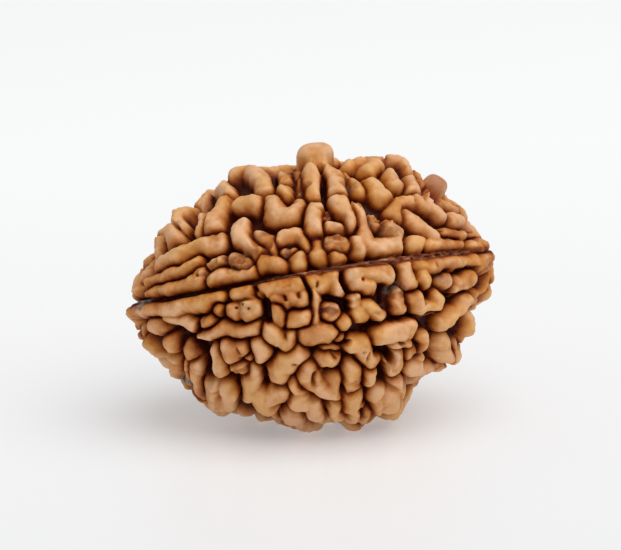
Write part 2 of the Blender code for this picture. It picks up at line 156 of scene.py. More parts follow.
def carry(x, y):
    """The first point inside the crown on the line of sight of a pixel.

    Where the line passes by, the nearest point is moved on behind the outline,
    by about as much as the line misses the crown.
    """
    lens = LENS / SENSOR * PIXELS_X
    sight = -back + right * ((x - PIXELS_X / 2) / lens) + up * ((PIXELS_Y / 2 - y) / lens)
    steps = np.linspace(VIEW_DISTANCE - SIGHT_REACH, VIEW_DISTANCE + SIGHT_REACH, SIGHT_STEPS)
    points = (eye + steps[:, None] * unit(sight)) @ AXES.T
    length = np.linalg.norm(crown_direction(points), axis=1)
    inside = np.nonzero(length < 1.0)[0]
    index = inside[0] if len(inside) else int(np.argmin(length))
    miss = 0.0 if len(inside) else (length[index] - 1.0) * HALF_SIZE[2]
    direction = crown_direction(points[index:index + 1] + miss * (AXES @ unit(sight)))
    return crown_point(direction / np.linalg.norm(direction))[0]


middle_pixel = (PIXELS_X / 2, PIXELS_Y / 2)
print("the middle of the picture meets the crown at", carry(*middle_pixel).round(2))

# %% [markdown]
# ## Swells of the outline
# The real outline isn't a smooth oval. It bulges and dips by up to a millimetre. That could
# be sculpted with a soft brush. Here each swell is a bell curve, a soft ridge or valley that
# runs away from the viewer, so that it shows in the outline and fades out behind.

# %% Swells
CLEFT_ANGLE = math.radians(19.7)
CLEFT_LIFT, LIFT_START, LIFT_SPAN = 0.33, 0.88, 0.09
SWELL_STRETCH = 0.35
# Each has a pixel where the oval's edge is, its rise and half width in millimetres, and a
# sign where it is only above or only below the cleft.
SWELLS = [
    (491, 256, 0.70, 1.2), (490, 282, 0.30, 1.0), (477, 226, -0.35, 0.9),
    (462, 205, -0.20, 1.6), (449, 192, -0.20, 1.0), (432, 181, 0.40, 0.95),
    (415, 172, -0.30, 0.7), (400, 166, 0.70, 1.1), (375, 159, 0.20, 1.0),
    (316, 172, 0.55, 1.0), (343, 155, -0.45, 0.9), (288, 160, -0.65, 0.9),
    (274, 163, -0.05, 0.7), (240, 174, 0.60, 1.0), (206, 192, 0.05, 0.8),
    (195, 201, -0.60, 0.85), (180, 210, 0.25, 0.7), (158, 231, 0.10, 0.8),
    (144, 249, -0.60, 1.2), (134, 271, -0.30, 1.0), (130, 292, 0.05, 1.0, 1),
    (129, 310, 0.50, 0.8, -1), (134, 327, -0.40, 0.6), (160, 365, -0.45, 0.5),
    (197, 399, 0.30, 0.7), (181, 384, 0.25, 0.7), (218, 407, 0.45, 1.1),
    (279, 427, -0.25, 0.7), (333, 429, -0.45, 0.8), (353, 425, 0.20, 0.8),
    (362, 422, 0.40, 1.1), (394, 411, 0.60, 1.1), (414, 396, -0.50, 0.9),
    (430, 384, -0.60, 1.1), (443, 372, -0.15, 0.6), (452, 362, 0.60, 0.7),
    (470, 333, 0.20, 0.8), (481, 307, -0.25, 0.9),
]
swell_middles = [carry(x, y) for x, y, *_ in SWELLS]


def ease(value):
    """Zero to one with flat ends: 3 t squared minus 2 t cubed."""
    t = np.clip(value, 0.0, 1.0)
    return t * t * (3.0 - 2.0 * t)


def cleft_side(points):
    """Distance from the plane that holds both clefts, which lifts near the left mouth."""
    plain = points[:, 2] * math.cos(CLEFT_ANGLE) + points[:, 1] * math.sin(CLEFT_ANGLE)
    leftward = -points[:, 0] / HALF_SIZE[0]
    return plain - CLEFT_LIFT * ease((leftward - LIFT_START) / LIFT_SPAN)


def swell(points):
    """Sum of bell curves of the distance to each middle, less stretched along the sight."""
    total, side, sight = np.zeros(len(points)), cleft_side(points), AXES @ back
    for middle, (_, _, rise, extent, *half_of) in zip(swell_middles, SWELLS):
        step = points - middle
        away = step @ sight
        across = (step * step).sum(axis=1) - away * away
        hill = rise * np.exp(-(across + (SWELL_STRETCH * away) ** 2) / extent ** 2)
        total += np.where(side * half_of[0] > 0.0, hill, 0.0) if half_of else hill
    return total


print(len(SWELLS), "swells")

# %% [markdown]
# ## Aiming at the swollen surface
# A swell moves what was carried onto the plain crown, and a lobe's edge, which is what the
# eye sees of it near the outline, lies a little below its crest. Both shift the picture. The
# shift could be solved for exactly, but a few rounds of aiming short or wide come just as
# close, and they never jump, because each round goes only part of the way.

# %% Aim a pixel
DROP = 0.40
AIM_ROUNDS, AIM_KEPT = 9, 0.4


def lay(x, y):
    """Carry a pixel a drop below the swollen crown, in a few rounds of aiming."""
    aim = np.array([x, y], float)
    for _ in range(AIM_ROUNDS):
        point = carry(*aim)
        normal = crown_normal(crown_direction(point[None]))
        lift = normal * (swell(point[None])[:, None] - DROP)
        lift = (lift @ AXES)[0] / PIXEL_SIZE
        better = np.array([x - lift @ right, y + lift @ up])
        aim = AIM_KEPT * aim + (1.0 - AIM_KEPT) * better
    return carry(*aim)


print("the middle of the picture is laid at", lay(*middle_pixel).round(2))

# %% [markdown]
# ## Lobes that the photograph shows
# The lobes are worm-like folds of the woody wall, each a little different. They could be
# sculpted one by one. Here each is drawn as one or more strokes, as with a round brush: a
# half width, then the points of its middle line, in pixels of the photograph. The points
# were chosen one by one. Laid on the crown, they put each lobe where the real one is, and it
# stays there from any side.

# %% Traced strokes
LOBES = [
    [(9, 183, 213, 179, 223), (6, 184, 224, 188, 231), (10, 171, 232, 175, 239)],
    [(6, 160, 240, 158, 250)], [(7, 208, 199, 204, 207)], [(8, 221, 187, 228, 196)],
    [(6, 203, 216, 200, 228)], [(9, 224, 203, 216, 215, 213, 227), (8, 238, 204, 258, 204)],
    [(9, 236, 173, 252, 171, 262, 182, 264, 192)],
    [(8, 240, 222, 240, 238, 250, 245, 262, 252)],
    [(7, 262, 166, 272, 166, 285, 172, 287, 182)], [(5, 296, 168, 297, 178)],
    [(8, 284, 190, 284, 196)], [(9.5, 273, 203, 276, 214, 290, 215, 300, 204)],
    [(11, 310, 160, 318, 160), (8, 309, 168, 310, 180, 313, 196),
     (9, 325, 167, 337, 177, 338, 192)],
    [(4, 301, 180, 303, 193)], [(5, 345, 175, 352, 180)], [(8, 316, 208, 314, 220, 314, 233)],
    [(4, 326, 212, 326, 216)], [(6, 330, 228, 338, 227)], [(8, 338, 202, 346, 212, 352, 222)],
    [(8, 358, 208, 362, 220, 368, 243), (8, 357, 240, 360, 250), (9, 376, 246, 395, 245),
     (5, 398, 232, 400, 240), (8, 387, 226, 397, 230)],
    [(6, 281, 240, 287, 233, 296, 233, 304, 241, 308, 248)],
    [(7, 260, 234, 268, 240, 268, 250), (5, 265, 250, 263, 262), (7, 263, 264, 281, 263)],
    [(6, 374, 217, 376, 224)], [(6, 317, 243, 319, 258), (7, 316, 256, 322, 256)],
    [(8, 331, 243, 343, 242)], [(7, 337, 256, 339, 256)],
    [(7, 348, 163, 365, 160), (8, 375, 158, 380, 159)], [(7, 389, 159, 400, 161, 408, 171)],
    [(7, 391, 175, 395, 183)], [(12, 370, 183, 378, 190, 386, 196)], [(6, 353, 184, 358, 190)],
    [(9, 412, 182, 412, 190)], [(12, 435, 184, 439, 186)], [(4, 428, 188, 428, 192)],
    [(5, 421, 181, 422, 185)],
    [(7, 394, 212, 404, 202, 410, 201), (9, 420, 202, 432, 207, 440, 215)],
    [(6, 443, 201, 455, 209)], [(7, 450, 218, 468, 225)],
    [(6, 402, 210, 415, 218, 425, 228, 437, 238), (5.5, 432, 245, 460, 244),
     (6.5, 475, 244.5, 487, 246), (8, 417, 243, 420, 242)],
    [(5, 443, 234, 462, 234, 482, 237)], [(5, 486, 264, 488, 268)],
    [(5, 146, 274, 138, 281, 136, 292)], [(4, 152, 257, 148, 268)],
    [(9, 160, 263, 172, 257, 185, 250, 200, 245, 217, 242)],
    [(5.5, 148, 282, 160, 277, 172, 273, 185, 267, 196, 263)],
    [(6, 146, 294, 165, 289, 185, 284, 197, 280), (5, 197, 280, 201, 271)],
    [(5, 211, 262, 217, 261)], [(6, 233, 260, 243, 262)],
    [(7, 211, 278, 225, 277, 240, 274, 250, 270)], [(4, 286, 251, 290, 250)],
    [(8, 298, 257, 298, 261)],
    [(5, 127, 314, 136, 312), (8, 142, 311, 155, 310, 170, 308, 190, 305),
     (7, 190, 304, 205, 301, 219, 298), (5, 166, 318, 180, 323, 192, 326)],
    [(6, 217, 309, 219, 311)], [(5.5, 203, 323, 210, 321)], [(7, 151, 327, 161, 327)],
    [(5, 140, 329, 142, 338)],
    [(6, 233, 293, 250, 292), (12, 249, 307, 251, 309), (6, 232, 309, 233, 312)],
    [(6, 203, 337, 215, 334, 228, 330), (6.5, 228, 330, 243, 331, 253, 331)],
    [(8, 265, 290, 280, 286, 297, 285), (7, 288, 296, 293, 297), (5, 302, 296, 302, 303),
     (5, 276, 299, 285, 303)],
    [(5, 278, 307, 279, 320), (9, 272, 335, 275, 338), (7, 294, 334, 284, 345)],
    [(8, 291, 320, 304, 320)],
    [(8, 312, 281, 322, 284, 333, 278), (4.5, 313, 290, 317, 300, 316, 312, 315, 322),
     (6.5, 335, 281, 339, 288), (11, 310, 336, 327, 335)],
    [(8, 330, 311, 331, 313)], [(7, 342, 326, 344, 323)], [(4, 337, 339, 339, 337)],
    [(9, 355, 275, 372, 273, 386, 274), (7, 358, 285, 371, 287)],
    [(6, 356, 299, 357, 302), (7, 359, 315, 362, 314), (7, 370, 307, 380, 315)],
    [(6, 401, 293, 400, 308), (5, 399, 302, 404, 308)],
    [(7, 405, 268, 411, 281), (6, 419, 264, 430, 266, 445, 264, 462, 262, 475, 261),
     (7, 475, 261, 486, 261), (5, 483, 255, 491, 256), (7, 424, 276, 427, 280)],
    [(7, 444, 280, 447, 280)], [(7, 460, 283, 474, 280), (4, 456, 290, 468, 287)],
    [(7, 416, 298, 420, 307, 436, 306, 438, 297)], [(9, 466, 304, 455, 314, 444, 324)],
    [(4, 488, 276, 484, 288, 475, 296)], [(4, 474, 301, 477, 303)], [(8, 469, 318, 467, 330)],
    [(9, 379, 338, 395, 333, 410, 329), (5, 397, 344, 409, 342)],
    [(5.5, 424, 337, 423, 346, 418, 349)], [(5.5, 415, 349, 408, 356)],
    [(11, 442, 345, 447, 358)], [(6, 455, 346, 451, 359)],
    [(9, 411, 368, 430, 368), (4, 420, 358, 421, 360)], [(6, 411, 383, 416, 382)],
    [(5.5, 397, 357, 397, 368, 393, 373), (6, 385, 367, 390, 371)], [(9, 151, 345, 157, 353)],
    [(8.5, 170, 341, 172, 345)], [(6.5, 173, 360, 175, 373)], [(3.5, 176, 384, 186, 390)],
    [(6.5, 187, 350, 189, 357), (3.5, 187, 366, 185, 378)],
    [(5.5, 196, 365, 196, 378, 197, 390, 199, 396)],
    [(8, 213, 384, 212, 397, 217, 405), (8.5, 228, 388, 229, 400, 223, 407)],
    [(6, 216, 353, 217, 362, 220, 372)], [(10, 232, 350, 231, 355), (6, 241, 346, 240, 352)],
    [(5, 245, 357, 247, 357)], [(6, 236, 370, 243, 368)],
    [(7.5, 254, 370, 251, 385, 248, 400), (11, 258, 396, 266, 408), (9, 269, 401, 281, 393)],
    [(6, 244, 413, 248, 414)], [(8, 258, 349, 261, 356)],
    [(9, 299, 353, 288, 361, 280, 371, 279, 379)], [(6, 275, 416, 278, 416)],
    [(8, 296, 384, 297, 390), (11, 298, 398, 301, 404), (9, 312, 402, 316, 414),
     (9, 293, 416, 303, 423, 316, 424)],
    [(8, 307, 369, 311, 384, 325, 391, 332, 394), (5, 318, 376, 322, 386),
     (5, 333, 379, 336, 392)],
    [(8, 322, 362, 331, 360)], [(4, 326, 351, 336, 351)], [(8, 351, 367, 352, 378, 353, 387)],
    [(8, 369, 375, 370, 381)], [(9.5, 351, 397, 353, 404, 353, 419)],
    [(6, 366, 412, 365, 422)], [(7, 333, 405, 337, 415)],
    [(8, 353, 345, 363, 345, 366, 356), (7, 366, 352, 372, 361)],
    [(9, 377, 394, 380, 408), (12, 389, 396, 392, 405), (7, 397, 381, 401, 390)],
]


def traced_lobes():
    """Every stroke as a half width in millimetres and its points on the crown."""
    lobes = []
    for strokes in LOBES:
        lobe = []
        for width, *pixels in strokes:
            path = [lay(x, y) for x, y in zip(pixels[::2], pixels[1::2])]
            lobe.append((width * PIXEL_SIZE, path))
        lobes.append(lobe)
    return lobes


traced = traced_lobes()
print(len(traced), "lobes traced")

# %% [markdown]
# ## Room for the lobes that it doesn't show
# The far side has such lobes too, so a rule places them. Chance points would clump. A
# sunflower spiral spreads them evenly over the crown, and each is nudged a little. Points in
# the clefts, in the right mouth or on a traced lobe drop out. A point that faces the camera
# needs more room than one at the back, so the dark gaps of the photograph stay gaps.

# %% Points for the filled lobes
FAR, LEAST_SQUARE = 9.0, 1e-9
FILL_SEED, FILL_POINTS, FILL_WIDTH, FILL_NUDGE = 21, 880, 0.60, 0.018
LOBE_ROOM, CLEFT_ROOM = 0.75, 0.55
SEEN_FROM, SEEN_SPAN, SEEN_TO, SEEN_GAP = -0.10, 0.2, 0.42, 0.45
CLEFT_HALF_WIDTH, CLEFT_WIDENING = 0.15, 0.14
MOUTH_RADII, LEFT_MOUTH_PIXEL, RIGHT_TURN = (0.80, 0.55), (137, 301), math.radians(13.0)
left_mouth = carry(*LEFT_MOUTH_PIXEL)
right_mouth = crown_point(np.array([[math.cos(RIGHT_TURN), math.sin(RIGHT_TURN), 0.0]]))[0]


def outline_gap(points, lobe):
    """Distance to a lobe's outline: to its strokes, less their half width."""
    least = np.full(len(points), FAR)
    for width, path in lobe:
        for start, end in zip(path[:-1], path[1:]):
            along = end - start
            t = np.clip((points - start) @ along / max(along @ along, LEAST_SQUARE), 0.0, 1.0)
            gap = np.linalg.norm(points - start - t[:, None] * along, axis=1)
            least = np.minimum(least, gap - width)
    return least


def spiral_points(rng):
    """Directions on a golden-angle spiral, nudged, and their crown points."""
    index = np.arange(FILL_POINTS)
    s = 1.0 - 2.0 * (index + 0.5) / FILL_POINTS
    spin = index * math.pi * (3.0 - math.sqrt(5.0))
    ring = np.sqrt(1.0 - s * s)
    direction = np.stack([s, ring * np.cos(spin), ring * np.sin(spin)], axis=1)
    direction += rng.normal(scale=FILL_NUDGE, size=direction.shape)
    direction /= np.linalg.norm(direction, axis=1)[:, None]
    return direction, crown_point(direction)


def points_with_room(rng):
    """Spiral points off the traced lobes, the clefts and the right mouth."""
    direction, points = spiral_points(rng)
    near = np.min([outline_gap(points, lobe) for lobe in traced], axis=0)
    facing = crown_normal(direction) @ (AXES @ back)
    room = FILL_WIDTH * LOBE_ROOM + SEEN_GAP * ease((facing - SEEN_FROM) / SEEN_SPAN)
    keep = (near > room) & (facing < SEEN_TO)
    keep &= np.abs(cleft_side(points)) > CLEFT_HALF_WIDTH + FILL_WIDTH * CLEFT_ROOM
    keep &= np.linalg.norm(points - right_mouth, axis=1) > MOUTH_RADII[1]
    return points[keep]


fill_rng = np.random.default_rng(FILL_SEED)
fill_points = points_with_room(fill_rng)
print(len(fill_points), "points to fill")

# %% [markdown]
# ## Lobes that it doesn't show
# One round lump per point would look like a berry. On the stone, lumps have grown together
# to short worms, most of which run round it. So neighbours are linked into worms of one to
# four points, each step to the point that is near and bends the worm least. All chance
# draws are seeded, so every run gives the same stone.

# %% Filled lobes
WIDTH_RANGE = (0.88, 1.12)
WORM_STEPS, WORM_REACH = (0, 1, 1, 2, 2, 3, 3), 1.9
BEND_COST, HEADING_SCATTER, STUB_LENGTH, NOT_ALLOWED = 1.6, 2.0, 0.2, 99.0
LEAST_GAP = 1e-6


def grow_worm(start, points, side, free, rng):
    """The points of one worm. The cost of a step is its length plus that of its bend."""
    free[start] = False
    here = points[start]
    chain = [here]
    radial = here * np.array([0.0, 1.0, 1.0])
    heading = np.cross((1.0, 0.0, 0.0), radial) + rng.normal(size=3) * HEADING_SCATTER
    heading = unit(heading)
    for _ in range(int(rng.choice(WORM_STEPS))):
        step = points - here
        gap = np.linalg.norm(step, axis=1)
        bend = 1.0 - np.abs(step @ heading) / np.maximum(gap, LEAST_GAP)
        allowed = free & (gap < WORM_REACH) & (side == side[start])
        cost = np.where(allowed, gap + BEND_COST * bend, NOT_ALLOWED)
        best = int(np.argmin(cost))
        if cost[best] == NOT_ALLOWED:
            break
        heading = unit(points[best] - here)
        free[best] = False
        here = points[best]
        chain.append(here)
    if len(chain) == 1:
        chain.append(here + unit(np.cross(here, heading)) * STUB_LENGTH)
    return chain


def filled_lobes(points, rng):
    """Worms through all the points, none across a cleft, each of its own width."""
    side = np.sign(cleft_side(points))
    free = np.ones(len(points), bool)
    lobes = []
    for start in rng.permutation(len(points)):
        if free[start]:
            chain = grow_worm(start, points, side, free, rng)
            lobes.append([(FILL_WIDTH * rng.uniform(*WIDTH_RANGE), chain)])
    return lobes


all_lobes = traced + filled_lobes(fill_points, fill_rng)
lobe_widths = np.array([np.mean([width for width, _ in lobe]) for lobe in all_lobes])
print(len(all_lobes) - len(traced), "lobes filled in")

# %% [markdown]
# ## Noise for a grown surface
# Nothing on a grown thing is quite round or straight. A noise texture could displace the
# mesh, but here the noise also has to bend the lobes' outlines, so it is worked out for
# points: a sum of a few sine waves in seeded directions, cheap, smooth and without a seam.

# %% Waves and wobble
WAVE_SPREAD, FULL_TURN = (0.7, 1.4), 6.283
WOBBLE_COUNT = 6


def waves(points, length, count, seed):
    """Soft noise: sine waves in seeded directions, summed, over the root of their count."""
    rng = np.random.default_rng(seed)
    total = np.zeros(len(points))
    for _ in range(count):
        pace = 2.0 * math.pi / (length * rng.uniform(*WAVE_SPREAD))
        total += np.sin(points @ unit(rng.normal(size=3)) * pace + rng.uniform(0.0, FULL_TURN))
    return total / math.sqrt(count)


def wobble(points, length, seed):
    """A shift in three directions, each its own noise."""
    return np.stack([waves(points, length, WOBBLE_COUNT, seed + k) for k in range(3)], axis=1)


print("noise at both mouths", waves(np.array([left_mouth, right_mouth]), 1.4, 7, 11).round(2))

# %% [markdown]
# ## Domes and creases
# A lobe of the stone is a rounded wall, and where two meet there is a crease. Metaballs
# would melt them into each other. So each point of the crown belongs to the lobe whose
# outline is nearest: a dome, highest over its strokes, that falls to the floor a little
# outside its outline. Lobes that overlap merge, lobes that touch leave a crease, which is
# deeper for some pairs than for others, and lobes apart leave a gap.

# %% Height of the lobes
DOME_MARGIN, DOME_POWER, DOME_ROOT = 0.32, 2.0, 0.55
CREASE_SPAN, CREASE_LEAST, CREASE_MOST = 0.26, 0.20, 0.65
FURTHEST_GAP, LOOK_REACH = 3.0, 2.4
SCATTER = (12.9898, 78.233, 43758.5453)


def nearest_lobes(points):
    """Outline gaps of the nearest and second lobe, and both their numbers."""
    first, second = np.full(len(points), FURTHEST_GAP), np.full(len(points), FURTHEST_GAP)
    owner, other = np.zeros(len(points), int), np.zeros(len(points), int)
    for number, lobe in enumerate(all_lobes):
        corners = np.concatenate([path for _, path in lobe])
        middle = corners.mean(axis=0)
        span = np.linalg.norm(corners - middle, axis=1).max() + LOOK_REACH
        near = np.nonzero(np.linalg.norm(points - middle, axis=1) < span)[0]
        gap = outline_gap(points[near], lobe)
        better = gap < first[near]
        closer = gap < second[near]
        second[near] = np.where(better, first[near], np.where(closer, gap, second[near]))
        other[near] = np.where(better, owner[near], np.where(closer, number, other[near]))
        first[near] = np.where(better, gap, first[near])
        owner[near] = np.where(better, number, owner[near])
    return first, second, owner, other


def pair_number(owner, other):
    """A number from zero to one that two neighbours always share: a scattered sine."""
    low, high = np.minimum(owner, other), np.maximum(owner, other)
    value = np.sin(low * SCATTER[0] + high * SCATTER[1]) * SCATTER[2]
    return value - np.floor(value)


def lobe_caps(points):
    """Height of the domes from zero to one, both outline gaps, and the lobe's number.

    A dome is one minus a power of the way outward, rooted, where the way is
    zero on the strokes and one a margin outside the outline. A crease is cut
    where two outlines are equally near.
    """
    first, second, owner, other = nearest_lobes(points)
    outward = (first + lobe_widths[owner]) / (lobe_widths[owner] + DOME_MARGIN)
    cap = (1.0 - np.clip(outward, 0.0, 1.0) ** DOME_POWER) ** DOME_ROOT
    between = np.clip((second - first) / CREASE_SPAN, 0.0, 1.0)
    cut = CREASE_LEAST + (CREASE_MOST - CREASE_LEAST) * pair_number(owner, other)
    return cap * (1.0 - cut * (1.0 - between) ** 2), first, second, owner


print("domes end", DOME_MARGIN, "mm outside the strokes")

# %% [markdown]
# ## Marks
# The photograph shows more than lobes: small pits, fine creases within a lobe, and deep dark
# gaps where the wall has torn open as it dried. A sculpting brush could cut them. The same
# strokes as before do it with a few numbers each, and they cut the surface itself.

# %% Marks
MARK_SOFT = 0.18
# Each is a half width in pixels, how much of the height it takes, and its middle line.
MARKS = [
    (9, 1, 198, 186, 196, 196, 195, 204), (5.5, 1, 194, 204, 194, 213, 192, 224, 189, 235),
    (1.2, 0.8, 177, 226, 183, 231, 189, 240), (1, 0.6, 206, 213, 206, 226),
    (4, 1, 243, 188, 247, 193), (3, 1, 273, 175, 274, 182), (1.2, 0.7, 284, 172, 285, 182),
    (1, 0.5, 290, 201, 294, 205, 298, 203), (3.8, 1, 323, 168, 323, 184, 324, 197),
    (3, 1, 324, 197, 325, 206), (1, 0.6, 305, 176, 302, 186, 304, 196),
    (3.5, 1, 358, 204, 368, 209, 382, 211), (2.5, 1, 396, 190, 399, 196),
    (1, 0.5, 412, 196, 413, 203), (1, 0.5, 424, 197, 423, 203), (1, 0.5, 434, 200, 432, 206),
    (2.5, 1, 437, 226, 440, 232), (1.5, 0.7, 405, 224), (1.5, 0.7, 416, 229),
    (1, 0.5, 440, 198, 446, 205), (2.5, 0.8, 127, 309, 129, 313), (1, 0.5, 198, 275),
    (7, 1, 181, 334, 190, 338, 198, 344), (2.5, 0.9, 196, 318, 197, 330), (1.3, 0.8, 243, 303),
    (1.4, 0.8, 251, 308), (1.2, 0.7, 232, 334, 230, 338),
    (4.6, 1, 267, 303, 268, 312, 268, 322), (1.5, 0.8, 256, 288, 262, 295, 268, 302),
    (1.4, 0.7, 226, 298, 224, 306), (1, 0.6, 234, 307), (1.2, 0.6, 283, 296, 284, 300),
    (1, 0.45, 297, 293, 299, 297), (1, 0.5, 287, 287), (3.5, 1, 327, 298, 340, 299, 347, 303),
    (3, 1, 345, 303, 349, 310), (1.8, 0.9, 341, 270, 343, 282, 348, 292),
    (1.5, 0.9, 300, 274, 304, 283, 310, 292, 311, 310), (1, 0.6, 318, 281, 318, 285),
    (1.5, 0.7, 377, 279, 381, 284), (1.2, 0.6, 363, 282), (4.6, 1, 384, 287, 385, 299),
    (1.6, 0.9, 393, 265, 396, 272, 402, 284, 408, 300, 410, 312), (1, 0.5, 435, 261, 436, 266),
    (1.3, 0.7, 420, 284, 421, 290), (1.2, 0.6, 427, 293, 428, 300), (1.3, 0.7, 424, 303),
    (2.6, 1, 404, 241, 406, 249), (1.5, 0.8, 452, 270, 466, 270, 478, 266),
    (1.2, 0.6, 486, 264), (1.5, 0.8, 452, 296, 464, 293, 474, 289),
    (1.8, 1, 340, 345, 370, 327, 410, 318, 440, 311, 448, 297), (1.4, 0.7, 462, 334),
    (3, 1, 423, 322, 430, 328), (9, 1, 202, 346, 205, 358), (7.5, 1, 206, 358, 208, 378),
    (1.2, 0.7, 223, 352, 226, 362), (1, 0.5, 238, 345, 240, 352), (1.2, 0.6, 293, 362),
    (2, 0.9, 266, 372, 268, 385), (1.4, 0.5, 314, 374, 313, 382),
    (1.2, 0.5, 322, 371, 325, 377), (1.2, 0.5, 333, 356, 336, 359), (3, 1, 325, 400, 326, 418),
    (1.3, 0.7, 362, 351), (1.2, 0.7, 369, 353, 367, 357), (1.6, 0.8, 345, 386, 347, 390),
    (6, 1, 383, 352, 392, 358), (6.5, 1, 381, 368, 382, 383), (3, 1, 425, 350, 430, 358),
    (1.3, 0.7, 397, 339, 402, 342), (2, 0.9, 238, 393, 238, 408),
    (1.2, 0.6, 251, 411, 254, 418), (1, 0.6, 296, 405, 304, 412, 312, 420),
    (1, 0.6, 304, 412, 306, 418), (1.2, 0.7, 361, 408, 362, 418), (1, 0.4, 232, 199, 234, 210),
    (1.3, 0.8, 283, 327, 286, 337), (1, 0.4, 233, 299, 245, 298, 255, 299),
    (1, 0.5, 418, 270, 416, 279), (1, 0.4, 285, 404, 291, 408), (1, 0.5, 363, 158, 364, 166),
    (3, 1, 332, 429, 330, 420), (3, 0.8, 283, 428, 281, 419),
]


def mark_depth(points):
    """How deep a point lies in the marks, one for a mark that takes it all."""
    depth = np.zeros(len(points))
    for width, most, *pixels in MARKS:
        path = [lay(x, y) for x, y in zip(pixels[::2], pixels[1::2])]
        path = path if len(path) > 1 else path * 2
        outside = outline_gap(points, [(width * PIXEL_SIZE, path)])
        depth = np.maximum(depth, most * (1.0 - ease(outside / MARK_SOFT + 0.5)))
    return depth


print(len(MARKS), "marks")

# %% [markdown]
# ## Spots
# Patches of the stone are red, grey with dirt, papery with dried pulp, or lower than the
# rest. A few grey spots darken a recess and a hole as painted shade. A texture could be
# painted for each. Round spots with ragged edges do the same with four numbers each, and
# they stay sharp in close views.

# %% Spots
SPOT_WOBBLE, SPOT_WOBBLE_LENGTH, SPOT_SEED = 0.25, 0.8, 60
SPOT_FULL, SPOT_FADE = 0.5, 0.7
# Each is a kind, a pixel, a reach in pixels, and its strength.
SPOTS = [
    ("red", 434, 187, 17, 0.7), ("red", 233, 258, 8, 0.35), ("red", 388, 198, 8, 0.3),
    # Grey spots are dirt, but those at 330, 312 and 397, 286 are painted shade in a recess and
    # a hole.
    ("grey", 181, 383, 13, 1.0), ("grey", 140, 299, 12, 1.0), ("grey", 214, 261, 7, 0.35),
    ("grey", 445, 280, 9, 0.35), ("grey", 486, 266, 9, 0.45), ("grey", 330, 312, 9, 0.3),
    ("grey", 248, 309, 13, 0.2), ("grey", 260, 235, 6, 0.4), ("grey", 397, 286, 7, 0.5),
    ("grey", 288, 250, 6, 0.3), ("grey", 352, 186, 8, 0.3), ("grey", 372, 222, 9, 0.25),
    ("papery", 336, 243, 13, 0.6), ("papery", 238, 262, 15, 0.6),
    ("papery", 392, 228, 14, 0.6), ("papery", 376, 217, 8, 0.5),
    ("papery", 200, 276, 9, 0.5), ("papery", 345, 185, 10, 0.3),
    ("low", 262, 240, 13, 0.30), ("low", 245, 258, 14, 0.35), ("low", 212, 261, 8, 0.30),
    ("low", 335, 238, 16, 0.30), ("low", 328, 213, 7, 0.40), ("low", 376, 218, 11, 0.35),
    ("low", 348, 186, 10, 0.25), ("low", 426, 190, 7, 0.40), ("low", 401, 298, 8, 0.35),
    ("low", 331, 312, 10, 0.45), ("low", 238, 369, 8, 0.25), ("low", 289, 250, 6, 0.30),
    ("low", 302, 188, 7, 0.35), ("low", 380, 314, 8, 0.20), ("low", 357, 300, 8, 0.25),
]


def spotted(points, kind):
    """How much spots of a kind cover each point: soft and ragged, the strongest counts."""
    cover = np.zeros(len(points))
    points = points + SPOT_WOBBLE * wobble(points, SPOT_WOBBLE_LENGTH, SPOT_SEED)
    for name, x, y, extent, most in SPOTS:
        if name == kind:
            gap = np.linalg.norm(points - lay(x, y), axis=1) / (extent * PIXEL_SIZE)
            cover = np.maximum(cover, most * (1.0 - ease((gap - SPOT_FULL) / SPOT_FADE)))
    return cover


print(len(SPOTS), "spots of", len({spot[0] for spot in SPOTS}), "kinds")

# %% [markdown]
# ## The cleft and the mouths
# Each face of the stone opens in a straight cleft, filled with dry fibres, that runs from
# mouth to mouth. A boolean cut would leave sharp lips. Here the relief is drawn down to a
# fibrous floor near the plane that holds both clefts. To the left the cleft is narrow and
# deep, in the middle wide and shallow, and just before the right mouth it closes. Both
# mouths of the hole press the relief flat.

# %% Cleft and mouths
WIDEST_AT, WIDEST_SPAN = 0.38, 0.33
LIP_START, LIP_SPAN = 0.5, 0.9
CLOSES_AT, CLOSES_SPAN = 0.84, 0.12
OPENS_AT, OPENS_SPAN = -0.50, 0.35
CLEFT_FLOOR, NARROW_SHARE = 0.72, 0.30
LEFT_END_RISE, LEFT_END_AT, LEFT_END_SPAN = 0.5, 0.88, 0.10
# The fibres' waves as length, count and seed, and how far they are drawn out along the axis.
FIBRE_RISE, FIBRE_WAVES, FIBRE_STRETCH = 0.07, (0.30, 9, 15), (0.25, 1.0, 1.0)
MOUTH_FLAT, MOUTH_LIP, MOUTH_DEPTH = 0.6, 0.4, 0.1


def cleft_shape(direction, side):
    """Half width of the cleft, how much a point is in it, and how open it is there.

    The half width is a bell curve along the axis on top of the least one.
    """
    s = direction[:, 0]
    bell = np.exp(-((s - WIDEST_AT) / WIDEST_SPAN) ** 2)
    half = CLEFT_HALF_WIDTH + CLEFT_WIDENING * bell
    inside = 1.0 - ease((np.abs(side) - LIP_START * half) / (LIP_SPAN * half))
    inside *= 1.0 - ease((s - CLOSES_AT) / CLOSES_SPAN)
    return half, inside, ease((s - OPENS_AT) / OPENS_SPAN)


def cleft_floor(direction, crown, open_part):
    """Height of the fibres: higher where it is open and at the left end, with waves."""
    floor = CLEFT_FLOOR * (NARROW_SHARE + (1.0 - NARROW_SHARE) * open_part)
    floor += LEFT_END_RISE * ease((-direction[:, 0] - LEFT_END_AT) / LEFT_END_SPAN)
    return floor + FIBRE_RISE * waves(crown * FIBRE_STRETCH, *FIBRE_WAVES)


def sink_mouths(crown, height):
    """The relief, eased down to a little below the floor around each mouth."""
    for middle, radius in zip((left_mouth, right_mouth), MOUTH_RADII):
        gap = np.linalg.norm(crown - middle, axis=1)
        mouth = ease((gap / radius - MOUTH_FLAT) / MOUTH_LIP)
        height = height * mouth - MOUTH_DEPTH * (1.0 - mouth)
    return height


print("cleft up to", round(2.0 * (CLEFT_HALF_WIDTH + CLEFT_WIDENING), 2), "mm wide")

